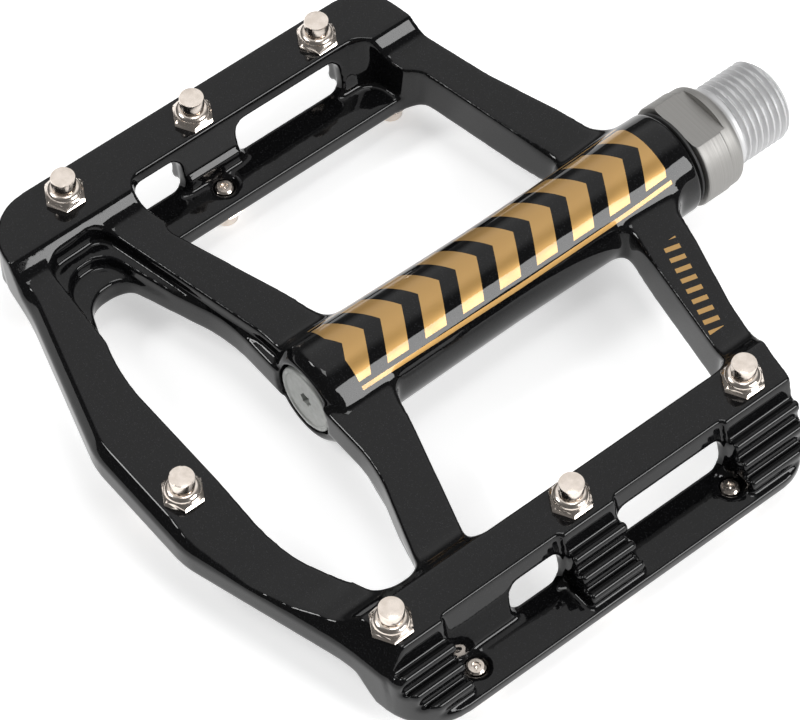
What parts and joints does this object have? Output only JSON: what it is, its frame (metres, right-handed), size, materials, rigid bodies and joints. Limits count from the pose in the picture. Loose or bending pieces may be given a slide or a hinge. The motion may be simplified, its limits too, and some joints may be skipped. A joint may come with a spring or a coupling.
{
  "type": "flat bicycle pedal",
  "caption": "Flat bicycle pedal: open cast platform with cages front and rear, screw-in traction pins, sealed bearings on a threaded spindle.",
  "frame": {"origin": "centre of the whole pedal's bounding box, which lies on the spindle's axis", "axes": "+X along the spindle towards the crank thread, +Z out of the face shown first, +Y towards the cage whose top plate is the outer one; half a turn about X maps the platform onto itself"},
  "size_m": [0.126, 0.11, 0.0224],
  "materials": {
    "black_paint": "gloss black paint on a light cast alloy",
    "satin_steel": "satin turned steel",
    "nickel": "warm nickel plate",
    "grey_anodised": "grey anodised",
    "bearing_steel": "ground and polished",
    "brass_cage": "stamped, with its balls",
    "black_rubber": "moulded black rubber",
    "dark_nylon": "matt"
  },
  "bodies": {
    "spindle_body": {"spindle": "satin_steel", "lock_nut": "satin_steel", "thrust_washer": "satin_steel", "outer_bearing_inner_ring": "bearing_steel", "middle_bearing_inner_ring": "bearing_steel", "crank_bearing_inner_ring": "bearing_steel", "spacer_sleeve": "dark_nylon"},
    "platform_body": {"platform": "black_paint", "end_cap": "grey_anodised", "cap_o_ring": "black_rubber", "lip_seal": "black_rubber", "outer_bearing_outer_ring": "bearing_steel", "outer_bearing_outer_shield": "black_rubber", "outer_bearing_inner_shield": "black_rubber", "middle_bearing_outer_ring": "bearing_steel", "middle_bearing_outer_shield": "black_rubber", "middle_bearing_inner_shield": "black_rubber", "crank_bearing_outer_ring": "bearing_steel", "crank_bearing_outer_shield": "black_rubber", "crank_bearing_inner_shield": "black_rubber", "pin_top_outer_1": "nickel", "pin_top_outer_2": "nickel", "pin_top_outer_3": "nickel", "pin_top_inner_1": "nickel", "pin_top_inner_2": "nickel", "pin_top_inner_3": "nickel", "pin_top_bar": "nickel", "pin_bottom_outer_1": "nickel", "pin_bottom_outer_2": "nickel", "pin_bottom_outer_3": "nickel", "pin_bottom_inner_1": "nickel", "pin_bottom_inner_2": "nickel", "pin_bottom_inner_3": "nickel", "pin_bottom_bar": "nickel"},
    "outer_balls": {"outer_bearing_ball_cage": "brass_cage"},
    "middle_balls": {"middle_bearing_ball_cage": "brass_cage"},
    "crank_balls": {"crank_bearing_ball_cage": "brass_cage"}
  },
  "joints": [
    {"name": "platform_spin", "type": "hinge", "parent": "spindle_body", "child": "platform_body", "pos_m": [0, 0, 0], "axis": [1, 0, 0], "continuous": true},
    {"name": "outer_balls_orbit", "type": "hinge", "parent": "spindle_body", "child": "outer_balls", "pos_m": [-0.02, 0, 0], "axis": [1, 0, 0], "continuous": true},
    {"name": "middle_balls_orbit", "type": "hinge", "parent": "spindle_body", "child": "middle_balls", "pos_m": [-0.015, 0, 0], "axis": [1, 0, 0], "continuous": true},
    {"name": "crank_balls_orbit", "type": "hinge", "parent": "spindle_body", "child": "crank_balls", "pos_m": [0.036, 0, 0], "axis": [1, 0, 0], "continuous": true}
  ],
  "couplings": [
    {"joint": "outer_balls_orbit", "follows": "platform_spin", "ratio": 0.589},
    {"joint": "middle_balls_orbit", "follows": "platform_spin", "ratio": 0.589},
    {"joint": "crank_balls_orbit", "follows": "platform_spin", "ratio": 0.552}
  ]
}
